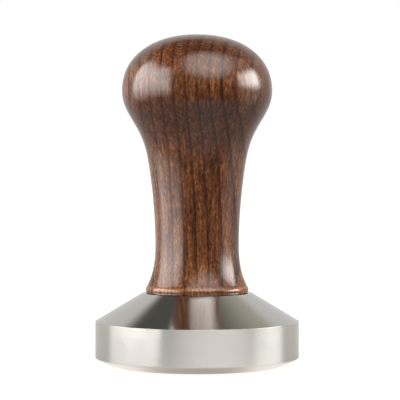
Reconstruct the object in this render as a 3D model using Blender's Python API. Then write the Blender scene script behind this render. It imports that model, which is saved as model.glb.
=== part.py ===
"""A 58 mm espresso tamper that comes apart.

A turned steel base holds a threaded stud. A turned wooden handle has a brass threaded insert in its foot and
screws down onto the stud, with a rubber washer between the two. The origin is the centre of the flat face
that tamps the coffee, and +Z runs up the axis of the tamper. Every piece turns about that axis.
"""

import math

import bmesh
import bpy
from mathutils import Vector
from mathutils.geometry import interpolate_bezier

MM = 0.001
AXIS = Vector((0.0, 0.0, 1.0))

# Gaps between pieces.
RESTING_GAP = 0.3 * MM
THREAD_GAP = 0.08 * MM  # taken off every external thread and added to every internal one

# Base: a disc that fits a 58 mm filter basket, with a cone on top and a bevel round its tamping face.
BASE_RADIUS = 29.0 * MM
TAMPING_FACE_RADIUS = 24.0 * MM
BEVEL_HEIGHT = 2.0 * MM
EDGE_BREAK = 0.3 * MM
WALL_TOP = 12.45 * MM
CONE_TOP = 20.5 * MM
CONE_TOP_RADIUS = 15.6 * MM

# Thread of the stud, M8 x 1.25, and the stud's length.
STUD_PITCH = 1.25 * MM
STUD_RADIUS = 4.0 * MM
STUD_ROOT_RADIUS = 3.32 * MM
STUD_BOTTOM = 9.6 * MM
STUD_TOP = 34.6 * MM
STUD_END_CHAMFER = 0.5 * MM
TAPPED_HOLE_BOTTOM = 8.0 * MM
DRILL_TIP_SLOPE = 0.6  # height over radius of a drill's point
SOCKET_WIDTH = 4.0 * MM  # across the flats of the hexagon key
SOCKET_DEPTH = 4.5 * MM

# Washer, in a recess in the handle's foot.
WASHER_RADIUS = 9.0 * MM
WASHER_HOLE_RADIUS = 4.4 * MM
WASHER_BOTTOM = CONE_TOP + RESTING_GAP
WASHER_THICKNESS = 0.8 * MM
WASHER_TOP = WASHER_BOTTOM + WASHER_THICKNESS

# Handle: foot, waist, neck and head, each the radius at a height.
FOOT_BOTTOM = CONE_TOP + RESTING_GAP
FOOT_RADIUS = 14.65 * MM
FOOT_BEAD_TOP = 22.6 * MM
FOOT_BEAD_WIDEST = 21.5 * MM
FOOT_FLARE_RADIUS = 14.15 * MM
FOOT_FLARE_SLOPE = 0.57  # how much wider per unit of height, going down, where the flare meets the bead
FOOT_FACE_RADIUS = 14.1 * MM
WAIST_RADIUS = 11.9 * MM
WAIST_HEIGHT = 33.9 * MM
NECK_RADIUS = 14.6 * MM
NECK_HEIGHT = 61.4 * MM
NECK_SLOPE = 0.27  # how much wider per unit of height, going up
HEAD_RADIUS = 21.45 * MM
HEAD_HEIGHT = 77.8 * MM
HANDLE_TOP = 93.95 * MM
DOME_POWER = 2.2  # 2 would make the dome an ellipse, and more makes it squarer
WASHER_CLEARANCE = 0.6 * MM
RECESS_RADIUS = WASHER_RADIUS + WASHER_CLEARANCE
RECESS_TOP = WASHER_TOP + RESTING_GAP

# How far the handle's outline holds its direction on its way from each of those radii to the next.
PULL_BELOW_HEAD = 6.1 * MM
PULL_ABOVE_NECK = 8.1 * MM
PULL_BELOW_NECK = 4.1 * MM
PULL_ABOVE_WAIST = 10.6 * MM
PULL_BELOW_WAIST = 3.6 * MM
PULL_ABOVE_FLARE = 3.9 * MM
PULL_BEAD = 0.35 * MM
PULL_FOOT_FACE = 0.3 * MM

# Brass insert, screwed into the wood by its own coarse thread.
INSERT_PITCH = 2.5 * MM
INSERT_RADIUS = 6.0 * MM
INSERT_ROOT_RADIUS = 5.2 * MM
INSERT_BOTTOM = RECESS_TOP + RESTING_GAP
INSERT_LENGTH = 15.0 * MM
INSERT_TOP = INSERT_BOTTOM + INSERT_LENGTH
INSERT_HOLE_ROOM = 3.0 * MM  # past the end of the insert
INSERT_HOLE_TOP = INSERT_TOP + INSERT_HOLE_ROOM
SLOT_WIDTH = 1.6 * MM
SLOT_DEPTH = 2.0 * MM

# Widening of a threaded hole's mouth, past the thread, and how far a cutter reaches beyond what it cuts.
COUNTERSINK = 0.5 * MM
CUTTER_REACH = 5.0 * MM

# Shares of one pitch, going up the thread: root, flank, crest, flank.
ROOT_SHARE = 4 / 16
FLANK_SHARE = 5 / 16
CREST_SHARE = 2 / 16

# Facets.
BASE_SEGMENTS = 64
HANDLE_SEGMENTS = 48
WASHER_SEGMENTS = 32
THREAD_SEGMENTS = 20
DOME_STEPS = 12
CURVE_STEPS = 9
BEAD_STEPS = 4
SHARP_ANGLE = math.radians(35)


def clear_scene():
    for obj in list(bpy.data.objects):
        bpy.data.objects.remove(obj, do_unlink=True)


# Materials -----------------------------------------------------------------------------------------------


def principled(name, colour, roughness, metallic=0.0, coat=0.0):
    material = bpy.data.materials.new(name)
    material.use_nodes = True
    shader = material.node_tree.nodes["Principled BSDF"]
    shader.inputs["Base Color"].default_value = (*colour, 1.0)
    shader.inputs["Roughness"].default_value = roughness
    shader.inputs["Metallic"].default_value = metallic
    shader.inputs["Coat Weight"].default_value = coat
    return material


def polished_steel():
    return principled("polished_steel", (0.62, 0.60, 0.57), 0.2, metallic=1.0)


def plated_steel():
    return principled("plated_steel", (0.50, 0.50, 0.51), 0.35, metallic=1.0)


def stained_wood():
    return principled("stained_wood", (0.13, 0.045, 0.025), 0.35, coat=0.8)


def brass():
    return principled("brass", (0.72, 0.50, 0.20), 0.3, metallic=1.0)


def black_rubber():
    return principled("black_rubber", (0.02, 0.02, 0.02), 0.7)


# Shapes --------------------------------------------------------------------------------------------------


def finish(name, mesh_builder, material=None):
    """Make an object of a bmesh, with its faces pointing out. Its origin is on the axis it turns about."""
    bmesh.ops.recalc_face_normals(mesh_builder, faces=mesh_builder.faces)
    mesh = bpy.data.meshes.new(name)
    mesh_builder.to_mesh(mesh)
    mesh_builder.free()
    mesh.shade_smooth()
    mesh.set_sharp_from_angle(angle=SHARP_ANGLE)
    obj = bpy.data.objects.new(name, mesh)
    if material:
        mesh.materials.append(material)
    bpy.context.scene.collection.objects.link(obj)
    return obj


def turned(name, outline, segments, material=None):
    """Spin an outline of (radius, height) points about the axis. Where it ends on the axis, it closes."""
    builder = bmesh.new()
    points = [builder.verts.new((radius, 0.0, height)) for radius, height in outline]
    edges = [builder.edges.new(pair) for pair in zip(points, points[1:])]
    if outline[0][0] > 0:
        edges.append(builder.edges.new((points[-1], points[0])))
    bmesh.ops.spin(
        builder,
        geom=points + edges,
        cent=(0, 0, 0),
        axis=AXIS,
        angle=math.tau,
        steps=segments,
        use_merge=True,
    )
    bmesh.ops.remove_doubles(builder, verts=builder.verts, dist=1e-6)
    return finish(name, builder, material)


def on_circle(radius, step, height):
    """The place at a radius and a height, this many thread segments counter-clockwise from +X."""
    angle = math.tau * step / THREAD_SEGMENTS
    return radius * math.cos(angle), radius * math.sin(angle), height


def ring(builder, first, radius, height):
    """The vertices of one level circle, counter-clockwise from a step."""
    steps = range(first, first + THREAD_SEGMENTS)
    return [builder.verts.new(on_circle(radius, step, height)) for step in steps]


def close_end(builder, circle, first, radius, height):
    """Close a rod beyond its last circle: a cone to a smaller flat end, or to a point if radius is 0."""
    if radius > 0:
        inner = ring(builder, first, radius, height)
        builder.faces.new(inner)
    else:
        inner = [builder.verts.new((0, 0, height))] * THREAD_SEGMENTS
    for step in range(THREAD_SEGMENTS):
        after = (step + 1) % THREAD_SEGMENTS
        corners = [circle[step], circle[after], inner[after], inner[step]]
        builder.faces.new(list(dict.fromkeys(corners)))


def threaded_rod(name, pitch, root, crest, low, high, low_end, high_end, material=None):
    """A closed rod with a right-hand thread, which rises counter-clockwise and fades out over its end turns.

    low_end and high_end are (radius, length) of the cone at each end. The thread passes through angle 0 at
    whole numbers of pitches above the origin, so every rod of one pitch is in step with the others.
    """
    builder = bmesh.new()
    rise = pitch / THREAD_SEGMENTS
    first = math.ceil(low / rise)
    turns = math.floor((high - first * rise) / pitch) - 1
    last = turns * THREAD_SEGMENTS
    corners = (
        (0.0, 0.0),
        (ROOT_SHARE, 0.0),
        (ROOT_SHARE + FLANK_SHARE, 1.0),
        (ROOT_SHARE + FLANK_SHARE + CREST_SHARE, 1.0),
    )

    def corner(step, along, depth):
        fade = min(THREAD_SEGMENTS, step, last - step) / THREAD_SEGMENTS if depth else 0.0
        radius = root + (crest - root) * depth * fade
        height = rise * (first + step) + pitch * along
        return builder.verts.new(on_circle(radius, first + step, height))

    roots = [corner(step, *corners[0]) for step in range(last + THREAD_SEGMENTS + 1)]
    columns = [
        [roots[step]] + [corner(step, *c) for c in corners[1:]] + [roots[step + THREAD_SEGMENTS]]
        for step in range(last + 1)
    ]
    for column, following in zip(columns, columns[1:]):
        for level in range(len(corners)):
            builder.faces.new(
                (column[level], following[level], following[level + 1], column[level + 1])
            )

    bottom = ring(builder, first, root, low)
    for step in range(THREAD_SEGMENTS - 1):
        builder.faces.new((bottom[step], bottom[step + 1], roots[step + 1], roots[step]))
    builder.faces.new((bottom[-1], bottom[0], roots[0], roots[THREAD_SEGMENTS - 1]))
    for lower, upper in zip(columns[0], columns[0][1:]):
        builder.faces.new((roots[THREAD_SEGMENTS - 1], lower, upper))

    top = ring(builder, first, root, high)
    for step in range(1, THREAD_SEGMENTS):
        after = (step + 1) % THREAD_SEGMENTS
        builder.faces.new((roots[last + step], roots[last + step + 1], top[after], top[step]))
    builder.faces.new((roots[last + 1], top[1], top[0], roots[last + THREAD_SEGMENTS]))
    for lower, upper in zip(columns[-1], columns[-1][1:]):
        builder.faces.new((roots[last + 1], upper, lower))

    close_end(builder, bottom, first, low_end[0], low - low_end[1])
    close_end(builder, top, first, high_end[0], high + high_end[1])
    return finish(name, builder, material)


def cut(obj, cutter):
    """Subtract a cutter, which stays in the scene as a wire guide."""
    cutter.hide_render = True
    cutter.display_type = "WIRE"
    modifier = obj.modifiers.new(f"cut_{cutter.name}", "BOOLEAN")
    modifier.operation = "DIFFERENCE"
    modifier.solver = "EXACT"
    modifier.object = cutter


def countersink(name, mouth, outwards, radius):
    """A 45 degree cone that widens a hole of this radius at its mouth. outwards is 1 if it opens upwards."""
    wide = radius + COUNTERSINK + CUTTER_REACH
    outline = [
        (0.0, mouth + outwards * CUTTER_REACH),
        (wide, mouth + outwards * CUTTER_REACH),
        (radius - COUNTERSINK, mouth - outwards * 2 * COUNTERSINK),
        (0.0, mouth - outwards * 2 * COUNTERSINK),
    ]
    return turned(name, outline, THREAD_SEGMENTS)


def stud_tap(name, low, high, low_end):
    """A cutter for an internal thread that takes the stud."""
    return threaded_rod(
        name,
        STUD_PITCH,
        STUD_ROOT_RADIUS + THREAD_GAP,
        STUD_RADIUS + THREAD_GAP,
        low,
        high,
        low_end,
        (STUD_ROOT_RADIUS / 2, COUNTERSINK),
    )


# Sub-parts -----------------------------------------------------------------------------------------------


def make_base():
    outline = [
        (0.0, 0.0),
        (TAMPING_FACE_RADIUS, 0.0),
        (BASE_RADIUS - EDGE_BREAK, BEVEL_HEIGHT),
        (BASE_RADIUS, BEVEL_HEIGHT + EDGE_BREAK),
        (BASE_RADIUS, WALL_TOP),
        (CONE_TOP_RADIUS, CONE_TOP),
        (0.0, CONE_TOP),
    ]
    base = turned("base", outline, BASE_SEGMENTS, polished_steel())
    tip = (0.0, DRILL_TIP_SLOPE * (STUD_ROOT_RADIUS + THREAD_GAP))
    cut(base, stud_tap("base_tap", TAPPED_HOLE_BOTTOM, CONE_TOP + CUTTER_REACH, tip))
    cut(base, countersink("base_countersink", CONE_TOP, 1, STUD_RADIUS))
    return base


def make_stud():
    end = (STUD_ROOT_RADIUS - THREAD_GAP - STUD_END_CHAMFER, STUD_END_CHAMFER)
    stud = threaded_rod(
        "stud",
        STUD_PITCH,
        STUD_ROOT_RADIUS - THREAD_GAP,
        STUD_RADIUS - THREAD_GAP,
        STUD_BOTTOM + STUD_END_CHAMFER,
        STUD_TOP - STUD_END_CHAMFER,
        end,
        end,
        plated_steel(),
    )
    corner_radius = SOCKET_WIDTH / math.sqrt(3)
    hexagon = [
        (0.0, STUD_TOP + CUTTER_REACH),
        (corner_radius, STUD_TOP + CUTTER_REACH),
        (corner_radius, STUD_TOP - SOCKET_DEPTH),
        (0.0, STUD_TOP - SOCKET_DEPTH),
    ]
    cut(stud, turned("key_socket", hexagon, 6))
    return stud


def make_washer():
    outline = [
        (WASHER_RADIUS, WASHER_TOP),
        (WASHER_RADIUS, WASHER_BOTTOM),
        (WASHER_HOLE_RADIUS, WASHER_BOTTOM),
        (WASHER_HOLE_RADIUS, WASHER_TOP),
    ]
    return turned("washer", outline, WASHER_SEGMENTS, black_rubber())


def curve(start, start_pull, end_pull, end, steps=CURVE_STEPS):
    """Points after the first along a Bezier curve. Each pull is where the curve heads, from its own end."""
    knots = [Vector((radius, 0.0, height)) for radius, height in (start, start_pull, end_pull, end)]
    knots[1] += knots[0]
    knots[2] += knots[3]
    return [(point.x, point.z) for point in interpolate_bezier(*knots, steps + 1)[1:]]


def along_slope(slope, length):
    """A step of this length up a side whose radius grows by slope per unit of height."""
    share = length / math.hypot(slope, 1.0)
    return slope * share, share


def down_slope(slope, length):
    """The same step downwards."""
    across, up = along_slope(slope, length)
    return -across, -up


def handle_outline():
    """The handle's outer side, from the top of its dome down to its foot."""
    waist = (WAIST_RADIUS, WAIST_HEIGHT)
    neck = (NECK_RADIUS, NECK_HEIGHT)
    head = (HEAD_RADIUS, HEAD_HEIGHT)
    flare = (FOOT_FLARE_RADIUS, FOOT_BEAD_TOP)
    outline = []
    for step in range(DOME_STEPS):
        lean = 0.5 * math.pi * step / DOME_STEPS
        across = math.sin(lean)
        rise = (1 - across**DOME_POWER) ** (1 / DOME_POWER)
        outline.append((HEAD_RADIUS * across, HEAD_HEIGHT + (HANDLE_TOP - HEAD_HEIGHT) * rise))
    outline.append(head)
    above_neck = along_slope(NECK_SLOPE, PULL_ABOVE_NECK)
    outline += curve(head, (0.0, -PULL_BELOW_HEAD), above_neck, neck)
    below_neck = down_slope(NECK_SLOPE, PULL_BELOW_NECK)
    outline += curve(neck, below_neck, (0.0, PULL_ABOVE_WAIST), waist)
    above_flare = along_slope(-FOOT_FLARE_SLOPE, PULL_ABOVE_FLARE)
    outline += curve(waist, (0.0, -PULL_BELOW_WAIST), above_flare, flare)
    widest = (FOOT_RADIUS, FOOT_BEAD_WIDEST)
    outline += curve(flare, (PULL_BEAD, -PULL_BEAD), (0.0, PULL_BEAD), widest, BEAD_STEPS)
    foot_face = (FOOT_FACE_RADIUS, FOOT_BOTTOM)
    outline += curve(widest, (0.0, -PULL_BEAD), (PULL_FOOT_FACE, 0.0), foot_face, BEAD_STEPS)
    return outline


def make_handle():
    recess = [(RECESS_RADIUS, FOOT_BOTTOM), (RECESS_RADIUS, RECESS_TOP), (0.0, RECESS_TOP)]
    handle = turned("handle", handle_outline() + recess, HANDLE_SEGMENTS, stained_wood())
    root = INSERT_ROOT_RADIUS + THREAD_GAP
    hole = threaded_rod(
        "insert_hole",
        INSERT_PITCH,
        root,
        INSERT_RADIUS + THREAD_GAP,
        RECESS_TOP - CUTTER_REACH,
        INSERT_HOLE_TOP,
        (root / 2, COUNTERSINK),
        (0.0, DRILL_TIP_SLOPE * root),
    )
    cut(handle, hole)
    return handle


def make_insert():
    end = (INSERT_ROOT_RADIUS - STUD_END_CHAMFER, STUD_END_CHAMFER)
    insert = threaded_rod(
        "handle_insert",
        INSERT_PITCH,
        INSERT_ROOT_RADIUS - THREAD_GAP,
        INSERT_RADIUS - THREAD_GAP,
        INSERT_BOTTOM + STUD_END_CHAMFER,
        INSERT_TOP - STUD_END_CHAMFER,
        end,
        end,
        brass(),
    )
    low, high = INSERT_BOTTOM - CUTTER_REACH, INSERT_TOP + CUTTER_REACH
    cut(insert, stud_tap("insert_tap", low, high, (STUD_ROOT_RADIUS / 2, COUNTERSINK)))
    cut(insert, countersink("insert_mouth", INSERT_BOTTOM, -1, STUD_RADIUS))
    cut(insert, countersink("insert_far_mouth", INSERT_TOP, 1, STUD_RADIUS))
    slot_builder = bmesh.new()
    bmesh.ops.create_cube(slot_builder, size=1.0)
    slot = finish("driver_slot", slot_builder)
    slot.scale = (2 * INSERT_RADIUS + CUTTER_REACH, SLOT_WIDTH, 2 * SLOT_DEPTH)
    slot.location.z = INSERT_BOTTOM
    cut(insert, slot)
    return insert


def hold_together(parts):
    """Parent the pieces to two empties on the tamper's axis: one for all of it, one for what screws off."""
    tamper = bpy.data.objects.new("tamper", None)
    screwed_on = bpy.data.objects.new("screwed_on", None)
    for empty in (tamper, screwed_on):
        empty.empty_display_size = BASE_RADIUS
        bpy.context.scene.collection.objects.link(empty)
    screwed_on.parent = tamper
    for name, part in parts.items():
        part.parent = tamper if name in ("base", "stud") else screwed_on


def main():
    clear_scene()
    parts = {
        "base": make_base(),
        "stud": make_stud(),
        "washer": make_washer(),
        "handle": make_handle(),
        "handle_insert": make_insert(),
    }
    hold_together(parts)


main()
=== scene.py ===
"""The looks of an espresso tamper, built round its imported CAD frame.

Every piece is turned again at a fine resolution, from the outline and the sizes of its CAD solid:
smooth wood, crisp steel edges, real threads. Materials are node trees, and the studio is a pale
floor with three softboxes round it.
"""

import math

import bmesh
import bpy
import numpy as np
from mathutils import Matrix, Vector


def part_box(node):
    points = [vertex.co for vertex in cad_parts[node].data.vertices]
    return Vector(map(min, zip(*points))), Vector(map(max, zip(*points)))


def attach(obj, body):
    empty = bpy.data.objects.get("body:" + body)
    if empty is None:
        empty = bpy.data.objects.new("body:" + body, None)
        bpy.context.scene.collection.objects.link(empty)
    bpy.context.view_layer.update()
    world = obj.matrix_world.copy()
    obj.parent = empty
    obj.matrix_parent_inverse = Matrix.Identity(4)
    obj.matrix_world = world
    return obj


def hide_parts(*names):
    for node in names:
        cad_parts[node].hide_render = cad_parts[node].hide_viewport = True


MM = 0.001
SHARP_ANGLE = math.radians(40)

# Facets round the axis.
BASE_SEGMENTS = 256
HANDLE_SEGMENTS = 192
THREAD_SEGMENTS = 96

# Threads, as in the CAD: the pitch, and the radii of an external thread's root and crest.
STUD_THREAD = {"pitch": 1.25 * MM, "root": 3.24 * MM, "crest": 3.92 * MM}
INSERT_THREAD = {"pitch": 2.5 * MM, "root": 5.12 * MM, "crest": 5.92 * MM}
THREAD_PLAY = 0.16 * MM  # added to both radii of the hole's thread

# One pitch of a thread, going up, with eased corners: shares of the pitch, and of the way from root
# to crest.
THREAD_SHAPE = (
    (0.0, 0.0),
    (0.25, 0.0),
    (0.29, 0.06),
    (0.52, 0.94),
    (0.5625, 1.0),
    (0.6875, 1.0),
    (0.73, 0.94),
    (0.96, 0.06),
)

SEAT_GAP = 0.03 * MM  # between faces that rest on one another
DRILL_POINT = 0.6  # height of the cone at a blind hole's end, for each unit of its radius

# The base. Its edges have a radius. Its hole goes on below the stud and opens in a countersink.
EDGE_EASE = 0.02 * MM
BASE_BORE = 6.0 * MM  # what lies further out is the base's outer side
BASE_HOLE_BEYOND = 1.6 * MM
BASE_COUNTERSINK = 0.45 * MM
UNDERSIDE_RINGS = (0.04, 0.25, 0.5)  # shares of the tamping face's radius

# The stud, which ends this far inside the thread's root, and the hexagon socket in its top.
STUD_CHAMFER = 0.5 * MM
SOCKET_WIDTH = 4.0 * MM
SOCKET_DEPTH = 4.5 * MM
SOCKET_CHAMFER = 0.12 * MM
SOCKET_POINT = 1.2  # depth at the axis, as a share of the socket's

WASHER_HOLE = 4.4 * MM  # radius
WASHER_EDGE = 0.22 * MM

# The insert, which has countersunk ends and a screwdriver slot across the lower one.
INSERT_CHAMFER = 0.4 * MM
INSERT_COUNTERSINK = 0.15 * MM
SLOT_WIDTH = 1.6 * MM
SLOT_DEPTH = 2.0 * MM

# The handle's outside: heights above its foot, and how its curve is drawn through the CAD's points.
FOOT_HEIGHT = 3.0 * MM
BEAD_HEIGHT = 2.2 * MM
FOOT_FULLNESS = 0.4  # how much of the CAD outline's taper is left below the foot's widest point
FAIR_SPACING = 0.6 * MM
FAIR_SPREAD = 1.5 * MM
SIDE_STEPS = 5
BEAD_STEPS = 4

# The handle's inside: the recess that takes the washer, and the hole that takes the insert.
RECESS_GAP = 0.6 * MM
RECESS_WALL = 0.1 * MM  # what lies further out than the recess and this is the handle's outer side
RECESS_EDGE = 0.15 * MM
CEILING_GAP = 0.3 * MM
INNER_RING = 0.8 * MM  # outside the hole's root, on the recess's ceiling
HANDLE_COUNTERSINK = 0.3 * MM
HANDLE_HOLE_BEYOND = 3.0 * MM


# Turned shapes -----------------------------------------------------------------------------------


class Skin:
    """The surface of one turned piece, made of rings that all have the same number of vertices."""

    def __init__(self, segments):
        self.segments = segments
        turns = np.arange(segments) * math.tau / segments
        self.around = np.stack([np.cos(turns), np.sin(turns)], axis=1)
        self.points = []
        self.faces = []

    def ring(self, radius, height):
        """Add a level ring and return its vertices' numbers. The radius may vary round the ring."""
        first = len(self.points)
        spread = self.around * np.broadcast_to(radius, self.segments)[:, None]
        self.points += [(x, y, height) for x, y in spread]
        return list(range(first, first + self.segments))

    def face(self, corners):
        """Add a face, less any corner that comes twice. It is left out if under three remain."""
        corners = list(dict.fromkeys(corners))
        if len(corners) > 2:
            self.faces.append(corners)

    def join(self, one, other):
        """Fill between two rings."""
        for step in range(self.segments):
            after = (step + 1) % self.segments
            self.face((one[step], one[after], other[after], other[step]))

    def first_ring(self):
        return list(range(self.segments))

    def sweep(self, start, outline):
        """Carry the surface on through (radius, height) points, and return the last ring.

        It starts from a ring, or from the first point if start is None.
        """
        for radius, height in outline:
            following = self.ring(radius, height)
            if start is not None:
                self.join(start, following)
            start = following
        return start

    def close(self, ring, height):
        """Close the surface from a ring to a point on the axis."""
        self.points.append((0.0, 0.0, height))
        self.join(ring, [len(self.points) - 1] * self.segments)

    def thread(self, low_ring, high_ring, pitch, root, crest, outside):
        """A right-hand thread between two rings, in step with every other thread of its pitch.

        It is cut off square: what would lie beyond an end gathers on that end's ring, past a
        45 degree chamfer on an external thread (outside) or countersink in an internal one.
        """
        low_radius, low = self.radius_and_height(low_ring)
        high_radius, high = self.radius_and_height(high_ring)
        rise = pitch / self.segments
        # Over a pitch below the low end to a little above the high one, in steps round the axis.
        first = math.floor((low - 1.2 * pitch) / rise)
        last = math.ceil((high + 0.2 * pitch) / rise)
        limit = min if outside else max
        side = 1 if outside else -1

        def corner(step, along, depth):
            height = rise * step + pitch * along
            if height <= low:
                return low_ring[step % self.segments]
            if height >= high:
                return high_ring[step % self.segments]
            from_low = low_radius + side * (height - low)
            from_high = high_radius + side * (high - height)
            radius = limit(root + (crest - root) * depth, from_low, from_high)
            x, y = self.around[step % self.segments] * radius
            self.points.append((x, y, height))
            return len(self.points) - 1

        root_place, *places = THREAD_SHAPE
        roots = {
            step: corner(step, *root_place) for step in range(first, last + self.segments + 1)
        }
        columns = []
        for step in range(first, last + 1):
            between = [corner(step, *place) for place in places]
            columns.append([roots[step], *between, roots[step + self.segments]])
        for one, other in zip(columns, columns[1:]):
            for level in range(len(THREAD_SHAPE)):
                self.face((one[level], other[level], other[level + 1], one[level + 1]))

    def radius_and_height(self, ring):
        x, y, height = self.points[ring[0]]
        return math.hypot(x, y), height

    def piece(self, name, material):
        """Make the object, with its faces pointing out and its real edges sharp."""
        mesh = bpy.data.meshes.new(name)
        mesh.from_pydata(self.points, [], self.faces)
        builder = bmesh.new()
        builder.from_mesh(mesh)
        loose = [vertex for vertex in builder.verts if not vertex.link_faces]
        bmesh.ops.delete(builder, geom=loose, context="VERTS")
        bmesh.ops.recalc_face_normals(builder, faces=builder.faces)
        builder.to_mesh(mesh)
        builder.free()
        mesh.shade_smooth()
        mesh.set_sharp_from_angle(angle=SHARP_ANGLE)
        mesh.materials.append(material)
        return placed(bpy.data.objects.new(name, mesh))


def placed(obj):
    """The same object, now in the scene."""
    bpy.context.scene.collection.objects.link(obj)
    return obj


def built(name, builder):
    """An object in the scene from a bmesh, which is used up."""
    mesh = bpy.data.meshes.new(name)
    builder.to_mesh(mesh)
    builder.free()
    return placed(bpy.data.objects.new(name, mesh))


def outline_of(node, beyond, above=math.inf):
    """The (radius, height) points of a CAD node's outer side, top to bottom.

    Those are the points further than one distance from the axis, and all points above a height.
    """
    places = np.array([vertex.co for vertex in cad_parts[node].data.vertices])
    radii = np.hypot(places[:, 0], places[:, 1])
    sides = zip(radii, places[:, 2])
    pairs = {(round(r, 6), round(z, 6)) for r, z in sides if r > beyond or z > above}
    return sorted(pairs, key=lambda pair: (-pair[1], pair[0]))


def eased(points, radius, steps=4):
    """A polyline with its inner corners rounded, and a point just outside each rounding's ends."""
    points = [Vector(point) for point in points]
    most, outside = 0.4, 1.15  # shares of a side's length, and of the rounding's reach
    result = [points[0]]
    for before, corner, after in zip(points, points[1:], points[2:]):
        back, forth = before - corner, after - corner
        half = back.angle(forth) / 2
        reach = min(radius / math.tan(half), most * back.length, most * forth.length)
        start = corner + back.normalized() * reach
        end = corner + forth.normalized() * reach
        result.append(corner + back.normalized() * reach * outside)
        for step in range(steps + 1):
            to_end = step / steps
            to_start = 1 - to_end
            result.append(to_start**2 * start + 2 * to_end * to_start * corner + to_end**2 * end)
        result.append(corner + forth.normalized() * reach * outside)
    result.append(points[-1])
    return [tuple(point) for point in result]


def smooth(points, steps, lead_in=None):
    """A centripetal Catmull-Rom curve through the points. lead_in is a point before the first."""
    points = [np.array(point) for point in points]
    first = np.array(lead_in) if lead_in else 2 * points[0] - points[1]
    padded = [first, *points, 2 * points[-1] - points[-2]]
    result = []
    for a, b, c, d in zip(padded, padded[1:], padded[2:], padded[3:]):
        lengths = [np.linalg.norm(end - start) for start, end in ((a, b), (b, c), (c, d))]
        knots = np.cumsum([0] + [math.sqrt(length) for length in lengths])
        for step in range(steps):
            t = knots[1] + (knots[2] - knots[1]) * step / steps
            ab = blend(a, b, knots[0], knots[1], t)
            bc = blend(b, c, knots[1], knots[2], t)
            cd = blend(c, d, knots[2], knots[3], t)
            abc = blend(ab, bc, knots[0], knots[2], t)
            bcd = blend(bc, cd, knots[1], knots[3], t)
            result.append(blend(abc, bcd, knots[1], knots[2], t))
    return [tuple(point) for point in [*result, points[-1]]]


def faired(points, spacing, spread):
    """A fair curve close to the points: even steps along them, each averaged with its neighbours.

    It starts on the axis, where the points are mirrored, and keeps its end.
    """
    points = np.array(points)
    along = np.concatenate([[0.0], np.cumsum(np.linalg.norm(np.diff(points, axis=0), axis=1))])
    count = round(along[-1] / spacing)
    even = np.linspace(0.0, along[-1], count + 1)
    places = np.stack([np.interp(even, along, points[:, column]) for column in (0, 1)], axis=1)
    before = places[:0:-1] * (-1, 1)
    after = 2 * places[-1] - places[-2::-1]
    everything = np.concatenate([before, places, after])
    reach = round(3 * spread / spacing)
    weights = np.exp(-0.5 * (np.arange(-reach, reach + 1) * spacing / spread) ** 2)
    weights /= weights.sum()
    fair = [np.convolve(column, weights, "same") for column in everything.T]
    return list(zip(*(column[count : 2 * count + 1] for column in fair)))


def blend(start, end, low, high, at):
    """Go evenly from start to end as at goes from low to high."""
    return (start * (high - at) + end * (at - low)) / (high - low)


def internal(thread):
    """The same thread in a hole, with play."""
    return {
        "pitch": thread["pitch"],
        "root": thread["root"] + THREAD_PLAY,
        "crest": thread["crest"] + THREAD_PLAY,
    }


# Pieces ------------------------------------------------------------------------------------------


def seat_height():
    """Where the handle and the washer rest on the base."""
    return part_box("base")[1].z + SEAT_GAP


def make_base(material):
    skin = Skin(BASE_SEGMENTS)
    low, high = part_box("base")
    hole = internal(STUD_THREAD)
    outline = outline_of("base", BASE_BORE)[::-1]
    mouth = hole["crest"] + BASE_COUNTERSINK
    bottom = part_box("stud")[0].z - BASE_HOLE_BEYOND
    *inner, outer = [(outline[0][0] * share, low.z) for share in UNDERSIDE_RINGS]
    sides = eased([outer, *outline, (mouth, high.z)], EDGE_EASE)
    under = skin.sweep(None, inner)
    skin.close(skin.first_ring(), low.z)
    mouth_ring = skin.sweep(under, sides)
    low_ring = skin.ring(hole["root"], bottom)
    skin.thread(low_ring, mouth_ring, **hole, outside=False)
    skin.close(low_ring, bottom - DRILL_POINT * hole["root"])
    return skin.piece("tamper_base", material)


def make_stud(material):
    skin = Skin(THREAD_SEGMENTS)
    low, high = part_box("stud")
    end = STUD_THREAD["root"] - STUD_CHAMFER
    bottom = skin.ring(end, low.z)
    top = skin.ring(end, high.z)
    skin.thread(bottom, top, **STUD_THREAD, outside=True)
    skin.close(bottom, low.z)
    turns = np.arange(THREAD_SEGMENTS) * math.tau / THREAD_SEGMENTS
    hexagon = SOCKET_WIDTH / 2 / np.cos(np.mod(turns, math.pi / 3) - math.pi / 6)
    socket = [
        (hexagon + SOCKET_CHAMFER, high.z),
        (hexagon, high.z - SOCKET_CHAMFER),
        (hexagon, high.z - SOCKET_DEPTH),
    ]
    floor = skin.sweep(top, socket)
    skin.close(floor, high.z - SOCKET_POINT * SOCKET_DEPTH)
    return skin.piece("threaded_stud", material)


def make_washer(material):
    skin = Skin(THREAD_SEGMENTS)
    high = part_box("washer")[1]
    seat = seat_height()
    middle = (WASHER_HOLE + high.x) / 2
    corners = [
        (middle, seat),
        (high.x, seat),
        (high.x, high.z),
        (WASHER_HOLE, high.z),
        (WASHER_HOLE, seat),
        (middle, seat),
    ]
    outline = eased(corners, WASHER_EDGE)[:-1]
    last = skin.sweep(None, outline)
    skin.join(last, skin.first_ring())
    return skin.piece("rubber_washer", material)


def make_insert(material):
    skin = Skin(THREAD_SEGMENTS)
    low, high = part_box("handle_insert")
    hole = internal(STUD_THREAD)
    outer = INSERT_THREAD["root"] - INSERT_CHAMFER
    mouth = hole["crest"] + INSERT_COUNTERSINK
    outside = skin.ring(outer, low.z), skin.ring(outer, high.z)
    inside = skin.ring(mouth, low.z), skin.ring(mouth, high.z)
    skin.thread(*outside, **INSERT_THREAD, outside=True)
    skin.thread(*inside, **hole, outside=False)
    for one, other in zip(outside, inside):
        skin.join(one, other)
    insert = skin.piece("brass_insert", material)
    cut_slot(insert, low, high)
    return insert


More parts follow.
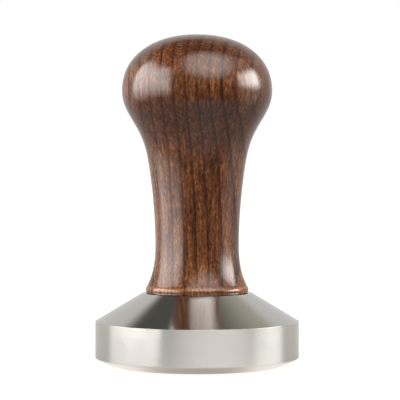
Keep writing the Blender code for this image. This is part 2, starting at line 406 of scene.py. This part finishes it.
def cut_slot(insert, low, high):
    """Cut the screwdriver slot across the insert's lower end."""
    builder = bmesh.new()
    bmesh.ops.create_cube(builder, size=1.0)
    size = (3 * high.x, SLOT_WIDTH, 2 * SLOT_DEPTH)
    bmesh.ops.scale(builder, vec=size, verts=builder.verts)
    bmesh.ops.translate(builder, vec=(0, 0, low.z), verts=builder.verts)
    cutter = built("slot", builder)
    modifier = insert.modifiers.new("slot", "BOOLEAN")
    modifier.operation = "DIFFERENCE"
    modifier.object = cutter
    apply_modifiers(insert)
    bpy.data.objects.remove(cutter)


def apply_modifiers(obj):
    """Replace an object's mesh by what its modifiers make of it."""
    graph = bpy.context.evaluated_depsgraph_get()
    mesh = bpy.data.meshes.new_from_object(obj.evaluated_get(graph))
    obj.modifiers.clear()
    obj.data = mesh
    mesh.set_sharp_from_angle(angle=SHARP_ANGLE)


def make_handle(material):
    skin = Skin(HANDLE_SEGMENTS)
    hole = internal(INSERT_THREAD)
    insert_low, insert_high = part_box("handle_insert")
    recess_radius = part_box("washer")[1].x + RECESS_GAP
    ceiling = insert_low.z - CEILING_GAP
    top, outline = handle_outside(recess_radius + RECESS_WALL)
    recess = [
        outline[-1],
        (recess_radius, seat_height()),
        (recess_radius, ceiling),
        (hole["root"] + INNER_RING, ceiling),
    ]
    first = skin.ring(*outline[0])
    skin.close(first, top[1])
    inner = skin.sweep(first, outline[1:] + eased(recess, RECESS_EDGE)[1:])
    mouth = skin.sweep(inner, [(hole["root"] + HANDLE_COUNTERSINK, ceiling)])
    depth = insert_high.z + HANDLE_HOLE_BEYOND
    end = skin.ring(hole["root"], depth)
    skin.thread(mouth, end, **hole, outside=False)
    skin.close(end, depth + DRILL_POINT * hole["root"])
    return skin.piece("turned_handle", material)


def handle_outside(beyond):
    """The handle's top, on the axis, and its outer side from there down to the seat.

    The side follows the CAD's points: all in the upper half, and those further than beyond from
    the axis.
    """
    low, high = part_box("handle")
    points = outline_of("handle", beyond, (low.z + high.z) / 2)
    widest_foot = max((r, z) for r, z in points if z < low.z + FOOT_HEIGHT)
    flare_end = next(z for r, z in points if z < low.z + BEAD_HEIGHT)
    side = [point for point in points if point[1] >= flare_end]
    bead = [point for point in points if point[1] <= flare_end]
    bead = [filled(point, widest_foot, low.z) for point in bead]
    bead = sorted(bead, key=lambda point: (-point[1], -point[0]))
    mirrored = (-side[1][0], side[1][1])
    curve = smooth(side, SIDE_STEPS, lead_in=mirrored)
    top, *body, _ = faired(curve, FAIR_SPACING, FAIR_SPREAD)
    return top, body + smooth(bead, BEAD_STEPS)


def filled(point, widest, low):
    """A point of the foot, which is steeper below its widest point and reaches down to the seat."""
    radius, height = point
    if height >= widest[1]:
        return point
    radius = blend(widest[0], radius, 0.0, 1.0, FOOT_FULLNESS)
    return radius, blend(widest[1], seat_height(), low, widest[1], low + widest[1] - height)


# Materials ---------------------------------------------------------------------------------------

# The wood's colours. FIBRE_COLOURS has (tone, colour) stops.
FIBRE_COLOURS = (
    (0.30, (0.018, 0.0060, 0.0032)),
    (0.44, (0.052, 0.0180, 0.0078)),
    (0.55, (0.092, 0.0335, 0.0138)),
    (0.70, (0.192, 0.0800, 0.0270)),
)
RING_COLOUR = (0.012, 0.0050, 0.0036)
PORE_COLOUR = (0.008, 0.003, 0.002)
# The next colour is end grain, which drinks more stain, and also painted shade on faces that point
# up and down.
END_GRAIN_SHADE_COLOUR = (0.014, 0.0012, 0.0010)
# The next colour is rubbed-thin stain on the bead's ridge, and also a painted highlight there.
WORN_HIGHLIGHT_COLOUR = (0.25, 0.10, 0.042)

# Growth rings in the wood, in millimetres: the direction across them, their spacing, and where they
# start. The dark line and the darkening are in shares of a ring.
RING_SLANT = (1.0, -0.16, 0.038)
RING_SPACING = 3.48
RING_START = 34 * RING_SPACING + 0.2
RING_LINE = (0.68, 0.91), (1.0, 0.95)
RING_DARKENING = (0.1, 0.9, 0.02, -0.02)

# Wear, with a painted highlight on the bead's ridge, and lacquer, by the height above the foot in
# millimetres.
WORN_HIGHLIGHT_BAND = (0.6, 1.3), (2.1, 1.5)
FLARE_LACQUER = (3.0, 14.0, 0.7, 1.0)
BEAD_LACQUER = (2.2, 1.7)

STEEL_COLOUR = (0.60, 0.587, 0.567)
PLATING_COLOUR = (0.50, 0.50, 0.49)
BRASS_COLOUR = (0.78, 0.55, 0.23)
SPECK_SHADE = 0.99  # the colour of a metal's specks, as a share of its own
RUBBER_COLOUR = (0.014, 0.014, 0.014)
DUST_COLOUR = (0.035, 0.033, 0.031)


class Nodes:
    """A node tree, with short calls for the nodes that are used here."""

    def __init__(self, tree):
        self.tree = tree

    def feed(self, node, values):
        """Set or link inputs. A key is an input's name, with _ for a space, or its number."""
        for key, value in values.items():
            socket = node.inputs[key.replace("_", " ") if isinstance(key, str) else key]
            if isinstance(value, bpy.types.NodeSocket):
                self.tree.links.new(value, socket)
            else:
                socket.default_value = value

    def node(self, kind, inputs=None, **settings):
        made = self.tree.nodes.new(kind)
        for key, value in settings.items():
            setattr(made, key, value)
        self.feed(made, inputs or {})
        return made

    def math(self, operation, *values):
        return self.node("ShaderNodeMath", dict(enumerate(values)), operation=operation).outputs[0]

    def product(self, first, *others):
        """All the values multiplied together."""
        for other in others:
            first = self.math("MULTIPLY", first, other)
        return first

    def vector(self, operation, one, other=None, scale=None):
        inputs = {0: one}
        if other is not None:
            inputs[1] = other
        if scale is not None:
            inputs["Scale"] = scale
        made = self.node("ShaderNodeVectorMath", inputs, operation=operation)
        return made.outputs["Value" if operation in ("DOT_PRODUCT", "LENGTH") else "Vector"]

    def noise(self, place, detail=2.0, roughness=0.5, stretch=(1.0, 1.0, 1.0)):
        """Noise whose cells are about 1 / stretch millimetres across."""
        spread = self.vector("MULTIPLY", place, stretch)
        inputs = {"Vector": spread, "Scale": 1.0, "Detail": detail, "Roughness": roughness}
        return self.node("ShaderNodeTexNoise", inputs).outputs["Fac"]

    def parts(self, vector):
        """The three components of a vector."""
        return self.node("ShaderNodeSeparateXYZ", {0: vector}).outputs

    def step(self, value, low, high, to_low=0.0, to_high=1.0):
        """Go smoothly from to_low to to_high as value goes from low to high."""
        inputs = {"Value": value, "From Min": low, "From Max": high}
        inputs.update({"To Min": to_low, "To Max": to_high})
        made = self.node("ShaderNodeMapRange", inputs, interpolation_type="SMOOTHSTEP")
        return made.outputs["Result"]

    def band(self, value, rise, fall):
        """1 between two pairs of (out, in) values, and smoothly down to 0 at their out values."""
        return self.product(self.step(value, *rise), self.step(value, *fall))

    def colours(self, value, *stops):
        """A colour for each value, through (position, (red, green, blue)) stops."""
        ramp = self.node("ShaderNodeValToRGB", {"Fac": value})
        points = ramp.color_ramp.elements
        while len(points) < len(stops):
            points.new(0.5)
        for point, (position, colour) in zip(points, stops):
            point.position = position
            point.color = (*colour, 1.0)
        return ramp.outputs["Color"]

    def mix(self, share, one, other):
        """A colour between two others."""
        inputs = {0: share, 6: padded(one), 7: padded(other)}
        return self.node("ShaderNodeMix", inputs, data_type="RGBA").outputs[2]

    def share(self, share, one, other):
        """A number between two others."""
        return self.node("ShaderNodeMix", {0: share, 2: one, 3: other}).outputs[0]

    def shaders(self, share, one, other):
        """A mixture of two nodes' shaders."""
        inputs = {0: share, 1: one.outputs[0], 2: other.outputs[0]}
        return self.node("ShaderNodeMixShader", inputs)

    def bump(self, height, millimetres, normal=None):
        """A normal, tilted by a relief of that depth. It may start from another normal."""
        inputs = {"Height": height, "Distance": millimetres * MM, "Strength": 1.0}
        if normal is not None:
            inputs["Normal"] = normal
        return self.node("ShaderNodeBump", inputs).outputs["Normal"]


class Shader(Nodes):
    """A material: a Principled surface, and the place on its object in millimetres."""

    def __init__(self, name, **settings):
        self.material = bpy.data.materials.new(name)
        self.material.use_nodes = True
        super().__init__(self.material.node_tree)
        self.surface = self.tree.nodes["Principled BSDF"]
        self.feed(self.surface, settings)
        place = self.node("ShaderNodeTexCoord").outputs["Object"]
        self.place = self.vector("SCALE", place, scale=1 / MM)

    def finish(self, **inputs):
        self.feed(self.surface, inputs)
        return self.material


def padded(colour):
    """A colour as a socket takes it."""
    return (*colour, 1.0) if isinstance(colour, tuple) else colour


def stained_wood():
    """Straight-grained hardwood, stained dark red-brown and lacquered."""
    wood = Shader("stained_wood")
    ring_line, late = growth_rings(wood)
    pores = wood.step(wood.noise(wood.place, stretch=(5.0, 5.0, 0.8), detail=1.0), 0.6, 0.72)
    tone = wood_tone(wood, late)
    colour = wood.colours(tone, *FIBRE_COLOURS)
    colour = wood.mix(wood.product(ring_line, 0.8), colour, RING_COLOUR)
    colour = wood.mix(wood.product(pores, 0.5), colour, PORE_COLOUR)
    # Darker on faces that point up and down: end grain and painted shade.
    colour = wood.mix(end_grain_and_shade(wood), colour, END_GRAIN_SHADE_COLOUR)
    # The bead's lighter ridge is rubbed-thin stain and a painted highlight.
    worn_highlight, lacquer_weight = wear_highlight_and_lacquer(wood, tone)

    relief = wood.math("ADD", wood.product(pores, -1.0), wood.product(ring_line, -0.6))
    peel = wood.noise(wood.place, stretch=(0.5, 0.5, 0.5), detail=1.0)
    return wood.finish(
        Base_Color=wood.mix(worn_highlight, colour, WORN_HIGHLIGHT_COLOUR),
        Roughness=0.45,
        Specular_IOR_Level=0.0,
        Normal=wood.bump(relief, 0.03),
        Coat_Weight=lacquer_weight,
        Coat_IOR=1.4,
        Coat_Roughness=0.14,
        Coat_Normal=wood.bump(peel, 0.012, wood.bump(relief, 0.006)),
    )


def growth_rings(wood):
    """The dark line at each ring's end, and a slow darkening up to it. The rings stand across X."""
    sway = wood.noise(wood.place, stretch=(0.06, 0.06, 0.015))
    sway = wood.math("MULTIPLY_ADD", sway, 2.0, -1.0)
    ragged = wood.noise(wood.place, stretch=(1.5, 1.5, 0.2), detail=3.0)
    ragged = wood.math("MULTIPLY_ADD", ragged, 0.4, -0.2)
    across = wood.vector("DOT_PRODUCT", wood.place, RING_SLANT)
    across = wood.math("ADD", wood.math("ADD", across, sway), ragged)
    count = wood.math("DIVIDE", wood.math("ADD", across, RING_START), RING_SPACING)
    within = wood.math("FRACT", count)
    which = {"W": wood.math("FLOOR", count)}
    chance = wood.node("ShaderNodeTexWhiteNoise", which, noise_dimensions="1D").outputs["Value"]
    ring_line = wood.band(within, *RING_LINE)
    ring_line = wood.product(ring_line, wood.math("MULTIPLY_ADD", chance, 0.4, 0.6))
    return ring_line, wood.step(within, *RING_DARKENING)


def wood_tone(wood, late):
    """From dark to light: fibres, flecks and patches, all longer up the grain than across it."""
    fibres = wood.noise(wood.place, stretch=(1.4, 1.4, 0.04), detail=4.0, roughness=0.6)
    flecks = wood.noise(wood.place, stretch=(1.7, 1.7, 0.8), detail=3.0, roughness=0.65)
    patches = wood.noise(wood.place, stretch=(0.15, 0.15, 0.06), detail=2.0)
    flecks = wood.math("MULTIPLY_ADD", flecks, 0.65, -0.10)
    tone = wood.math("ADD", wood.product(fibres, 0.55), flecks)
    tone = wood.math("ADD", tone, wood.math("MULTIPLY_ADD", patches, 0.24, -0.12))
    return wood.math("ADD", tone, late)


def end_grain_and_shade(wood):
    """How dark the wood is made where faces point up and down: end grain that drinks more stain,
    and also painted shade, less light on top and shade underneath.
    """
    facing_up = wood.parts(wood.node("ShaderNodeNewGeometry").outputs["Normal"])[2]
    top = wood.step(facing_up, 0.2, 0.9, 0.0, 0.45)
    underside = wood.step(facing_up, 0.0, -0.55, 0.0, 0.52)
    return wood.math("MAXIMUM", top, underside)


def wear_highlight_and_lacquer(wood, tone):
    """How far the stain is rubbed thin on the foot's bead, a band that is also a painted highlight,
    and how thick the lacquer is.

    The lacquer is thinner on the flare above the bead.
    """
    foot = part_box("handle")[0].z / MM
    height = wood.math("SUBTRACT", wood.parts(wood.place)[2], foot)
    # The bead's ridge: rubbed-thin stain, and a painted highlight where it catches the light.
    highlight_ridge = wood.band(height, *WORN_HIGHLIGHT_BAND)
    worn_highlight = wood.product(highlight_ridge, wood.step(tone, 0.35, 0.65, 0.1, 0.6))
    flare = wood.step(height, *FLARE_LACQUER)
    return worn_highlight, wood.math("MAXIMUM", flare, wood.step(height, *BEAD_LACQUER))


def turned_metal(name, colour, roughness, marks, spread=0.0):
    """Metal turned on a lathe: fine rings round the axis, and a finish that handling has varied.

    marks is the depth of the rings in millimetres, and spread is how far they draw reflections out.
    Returns the material and what its surface takes.
    """
    metal = Shader(name, Metallic=1.0)
    x, y, z = metal.parts(metal.place)
    radius = metal.vector("LENGTH", metal.node("ShaderNodeCombineXYZ", {0: x, 1: y}).outputs[0])
    uneven = metal.product(x, 0.02)
    lathe = metal.node("ShaderNodeCombineXYZ", {0: radius, 1: z, 2: uneven}).outputs[0]
    rings = metal.noise(lathe, stretch=(6.0, 6.0, 1.0), detail=4.0, roughness=0.7)
    smears = metal.noise(metal.place, stretch=(0.09, 0.09, 0.12), detail=3.0, roughness=0.6)
    specks = metal.noise(metal.place, stretch=(1.5, 1.5, 1.5), detail=2.0)
    handled = metal.math("MULTIPLY_ADD", smears, 0.10, roughness - 0.05)
    handled = metal.math("ADD", handled, metal.math("MULTIPLY_ADD", rings, 0.06, -0.03))
    darker = tuple(SPECK_SHADE * channel for channel in colour)
    tangent = metal.node("ShaderNodeTangent", direction_type="RADIAL", axis="Z").outputs[0]
    return metal, {
        "Base_Color": metal.mix(metal.step(specks, 0.3, 0.7), darker, colour),
        "Roughness": handled,
        "Normal": metal.bump(rings, marks),
        "Anisotropic": spread,
        "Anisotropic_Rotation": 0.25,
        "Tangent": tangent,
    }


def polished_steel():
    """Stainless steel, with turning marks that draw out its reflections on the wall."""
    metal, inputs = turned_metal("polished_steel", STEEL_COLOUR, roughness=0.11, marks=0.0001)
    facing_up = metal.parts(metal.node("ShaderNodeNewGeometry").outputs["Normal"])[2]
    wall = metal.step(metal.math("ABSOLUTE", facing_up), 0.3, 0.1)
    inputs["Anisotropic"] = metal.product(wall, 0.8)
    return metal.finish(**inputs)


def plated_steel():
    return dull_metal("plated_steel", PLATING_COLOUR, 0.32)


def brass():
    return dull_metal("brass", BRASS_COLOUR, 0.26)


def dull_metal(name, colour, roughness):
    """A turned metal that is left as it was cut."""
    metal, inputs = turned_metal(name, colour, roughness, marks=0.002, spread=0.3)
    return metal.finish(**inputs)


def black_rubber():
    rubber = Shader("black_rubber")
    grit = rubber.noise(rubber.place, stretch=(6.0, 6.0, 6.0), detail=3.0, roughness=0.7)
    dust = rubber.noise(rubber.place, stretch=(0.6, 0.6, 0.6), detail=3.0)
    return rubber.finish(
        Base_Color=rubber.mix(rubber.step(dust, 0.45, 0.75), RUBBER_COLOUR, DUST_COLOUR),
        Roughness=rubber.math("MULTIPLY_ADD", grit, 0.2, 0.55),
        Normal=rubber.bump(grit, 0.02),
    )


# Studio ------------------------------------------------------------------------------------------

# Light and colours of the room, in directions from the tamper. Azimuth 0 is towards the camera and
# grows towards the camera's right. Angles are in degrees. A pair goes from where a thing has faded
# out to where it is full. A set of four is two angles, then a value at each.
ROOM = (0.10, 0.098, 0.085)
BACKDROP = (0.72, 0.715, 0.695)
RIGHT_WALL = (0.48, 0.46, 0.39)
BEHIND = (104, 127)  # either way round
TO_RIGHT = (-0.05, 0.15)  # x component
RIGHT_WALL_TOP = (70, 44)
BACKDROP_TOPS = (43, 39)  # elevations at the left and at the right
BACKDROP_FADE = (6, -6)  # above its top

LEFT_SOFTBOX = (10.3, 10.0, 9.9)
LEFT_FAR_EDGE = (-120, -108)
LEFT_NEAR_EDGE = (0, 30, 41, 48)  # how far to the left it is at two elevations
LEFT_NEAR_BLUR = (4, 24, 4, 13)  # how soft it is at two elevations
LEFT_LEVELS = (-26, 16), (50, 30)

RIGHT_SOFTBOX = (18.0, 17.9, 17.4)
RIGHT_NEAR_EDGES = (62, 76, 0.0, 0.65), (76, 92, 0.0, 0.45)
RIGHT_FAR_EDGE = (116, 103)
RIGHT_LEVELS = (-3.8, 14), (34, 20)
RIGHT_SPILL = (-40, -15, 0.0, 0.06)  # the least light there, above and below the softbox

OVERHEAD_SOFTBOX = (6.2, 6.0, 5.7)
OVERHEAD_DIRECTION = (25, 54)
OVERHEAD_FADE = (41, 13)  # angles from that direction

# The floor to the camera, and to the rest: there it glows, more so in one direction, and shines a
# little.
FLOOR_SIZE = 12.0
FLOOR_COLOUR = (0.10, 0.10, 0.095)
FLOOR_GLOW_SEEN = 0.95
FLOOR_GLOW = 0.42
FLOOR_POOL = 0.33
FLOOR_POOL_AZIMUTH = 20
FLOOR_POOL_FADE = (0.62, 1.03)  # cosines of the angle from there
FLOOR_SHINE = 0.07
FLOOR_TINT = (1.0, 0.98, 0.95)

# How that floor differs with the height, in millimetres, of what sees it. The handle sees a small,
# dimmer table that fades out between two radii, and the bevel under the base sees warmer light from
# the sides.
HANDLE_HEIGHTS = (20.6, 22.0)
HANDLE_GLOW = 0.6
HANDLE_TABLE = (90.0, 230.0)
STEEL_TABLE = (600.0, 700.0)
BEVEL_HEIGHTS = (2.5, 2.0)
BEVEL_TINT = (1.0, 0.93, 0.86)

# The glow below the bevel: two cosines of the angle from the front, then the glow at each.
BEVEL_BACK = (-0.2, 0.6, 0.55, 1.05)
BEVEL_FRONT = (0.7, 1.0, 1.05, 0.56)

# The camera's lens and sensor, in millimetres, and its place and aim, in metres. It is a little
# above the tamper's middle and looks slightly down.
LENS = 158.0
SENSOR = 36.0
CAMERA_SIDE = 0.00082
CAMERA_DISTANCE = 0.5
CAMERA_HEIGHT = 0.0554
TARGET_HEIGHT = 0.0469

WHITE = (1.0, 1.0, 1.0, 1.0)


def facing(azimuth, elevation):
    """A direction from the tamper."""
    turn, lift = math.radians(azimuth), math.radians(elevation)
    level = math.cos(lift)
    return Vector((math.sin(turn) * level, -math.cos(turn) * level, math.sin(lift)))


def surroundings():
    """White to the camera. To all else, three softboxes and a pale backdrop in a dim room."""
    world = bpy.data.worlds.new("studio")
    bpy.context.scene.world = world
    world.use_nodes = True
    world.node_tree.nodes.clear()
    sky = Nodes(world.node_tree)
    direction = sky.node("ShaderNodeTexCoord").outputs["Generated"]
    x, y, z = sky.parts(direction)
    azimuth = sky.math("DEGREES", sky.math("ARCTAN2", x, sky.product(y, -1.0)))
    elevation = sky.math("DEGREES", sky.math("ARCSINE", z))

    light = dim_room(sky, x, azimuth, elevation)
    light = sky.mix(left_softbox(sky, azimuth, elevation), light, LEFT_SOFTBOX)
    light = sky.mix(right_softbox(sky, azimuth, elevation), light, RIGHT_SOFTBOX)
    near = sky.vector("DOT_PRODUCT", direction, facing(*OVERHEAD_DIRECTION))
    fade = [math.cos(math.radians(angle)) for angle in OVERHEAD_FADE]
    light = sky.mix(sky.step(near, *fade), light, OVERHEAD_SOFTBOX)

    room = sky.node("ShaderNodeBackground", {"Color": light})
    white = sky.node("ShaderNodeBackground", {"Color": WHITE})
    seen = sky.node("ShaderNodeLightPath").outputs["Is Camera Ray"]
    sky.node("ShaderNodeOutputWorld", {"Surface": sky.shaders(seen, room, white).outputs[0]})


def dim_room(sky, x, azimuth, elevation):
    """The room's light, with a wall behind to the right and a backdrop below it."""
    behind = sky.step(sky.math("ABSOLUTE", azimuth), *BEHIND)
    wall = sky.product(behind, sky.step(x, *TO_RIGHT), sky.step(elevation, *RIGHT_WALL_TOP))
    top = sky.step(x, *TO_RIGHT, *BACKDROP_TOPS)
    backdrop = sky.step(sky.math("SUBTRACT", elevation, top), *BACKDROP_FADE)
    light = sky.mix(wall, ROOM, RIGHT_WALL)
    return sky.mix(sky.product(behind, backdrop), light, BACKDROP)


def left_softbox(sky, azimuth, elevation):
    """How far a direction is inside the left softbox, whose near edge leans and blurs going up."""
    edge = sky.math("ADD", azimuth, sky.step(elevation, *LEFT_NEAR_EDGE))
    edge = sky.math("DIVIDE", edge, sky.step(elevation, *LEFT_NEAR_BLUR))
    sides = sky.product(sky.step(azimuth, *LEFT_FAR_EDGE), sky.step(edge, 1.0, -1.0))
    return sky.product(sides, sky.band(elevation, *LEFT_LEVELS))


def right_softbox(sky, azimuth, elevation):
    """How far a direction is inside the right softbox, whose near edge comes in by two steps."""
    rise = sky.math("ADD", *[sky.step(azimuth, *edge) for edge in RIGHT_NEAR_EDGES])
    sides = sky.product(rise, sky.step(azimuth, *RIGHT_FAR_EDGE))
    levels = sky.band(elevation, *RIGHT_LEVELS)
    return sky.product(sides, sky.math("MAXIMUM", levels, sky.step(elevation, *RIGHT_SPILL)))


def white_floor():
    """A pale satin floor, nearly white to the camera, and kept out of the object."""
    builder = bmesh.new()
    bmesh.ops.create_grid(builder, x_segments=1, y_segments=1, size=FLOOR_SIZE / 2)
    floor = built("floor", builder)
    paper = Shader("white_paper", Roughness=0.8, Specular_IOR_Level=0.0)
    path = paper.node("ShaderNodeLightPath").outputs
    seen = path["Is Camera Ray"]
    incoming = paper.node("ShaderNodeNewGeometry").outputs["Incoming"]
    viewer = paper.product(path["Ray Length"], paper.parts(incoming)[2])
    viewer = paper.math("DIVIDE", viewer, MM)
    from_handle = paper.step(viewer, *HANDLE_HEIGHTS)
    from_bevel = paper.step(viewer, *BEVEL_HEIGHTS)
    glow = floor_glow(paper, from_handle, from_bevel)
    tint = paper.mix(from_bevel, FLOOR_TINT, BEVEL_TINT)
    paper.finish(
        Base_Color=(*FLOOR_COLOUR, 1.0),
        Emission_Color=paper.mix(seen, tint, FLOOR_TINT),
        Emission_Strength=paper.share(seen, glow, FLOOR_GLOW_SEEN),
    )
    shine = paper.node("ShaderNodeBsdfAnisotropic", {"Color": WHITE, "Roughness": 0.4})
    surface = paper.shaders(FLOOR_SHINE, paper.surface, shine)

    far = paper.vector("LENGTH", paper.place)
    beyond = paper.product(from_handle, paper.step(far, *HANDLE_TABLE))
    beyond = paper.math("MAXIMUM", beyond, paper.step(far, *STEEL_TABLE))
    beyond = paper.product(beyond, paper.math("SUBTRACT", 1.0, seen))
    surface = paper.shaders(beyond, surface, paper.node("ShaderNodeBsdfTransparent"))
    paper.feed(paper.tree.nodes["Material Output"], {"Surface": surface.outputs[0]})
    floor.data.materials.append(paper.material)


def floor_glow(paper, from_handle, from_bevel):
    """How brightly the floor glows to the tamper."""
    outwards = paper.vector("NORMALIZE", paper.place)
    to_pool = paper.vector("DOT_PRODUCT", outwards, facing(FLOOR_POOL_AZIMUTH, 0))
    glow = paper.step(to_pool, *FLOOR_POOL_FADE, FLOOR_GLOW, FLOOR_GLOW + FLOOR_POOL)
    glow = paper.product(glow, paper.share(from_handle, 1.0, HANDLE_GLOW))
    front = paper.vector("DOT_PRODUCT", outwards, facing(0, 0))
    sides = [paper.step(front, *fade) for fade in (BEVEL_BACK, BEVEL_FRONT)]
    return paper.share(from_bevel, glow, paper.math("MINIMUM", *sides))


def camera():
    """A long lens in front of the tamper."""
    lens = bpy.data.cameras.new("camera")
    lens.lens = LENS
    lens.sensor_width = SENSOR
    eye = placed(bpy.data.objects.new("camera", lens))
    eye.location = (CAMERA_SIDE, -CAMERA_DISTANCE, CAMERA_HEIGHT)
    target = Vector((CAMERA_SIDE, 0.0, TARGET_HEIGHT))
    eye.rotation_euler = (target - eye.location).to_track_quat("-Z", "Y").to_euler()
    bpy.context.scene.camera = eye


def main():
    pieces = (
        (make_base(polished_steel()), "base", "base", "base_steel"),
        (make_stud(plated_steel()), "base", "stud", "stud_steel"),
        (make_washer(black_rubber()), "washer", "washer", "washer_rubber"),
        (make_handle(stained_wood()), "handle", "handle", "handle_wood"),
        (make_insert(brass()), "handle", "handle_insert", "insert_brass"),
    )
    for piece, body, node, slot in pieces:
        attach(piece, body)
        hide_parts(node)
    white_floor()
    surroundings()
    camera()
    bpy.context.scene.view_settings.view_transform = "Standard"


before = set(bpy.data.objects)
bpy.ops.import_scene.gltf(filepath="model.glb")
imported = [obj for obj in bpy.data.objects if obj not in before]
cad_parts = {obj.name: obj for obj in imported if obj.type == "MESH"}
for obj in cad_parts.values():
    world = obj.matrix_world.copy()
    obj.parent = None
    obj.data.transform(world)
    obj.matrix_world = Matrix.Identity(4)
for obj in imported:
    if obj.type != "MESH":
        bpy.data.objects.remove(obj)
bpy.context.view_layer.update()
main()
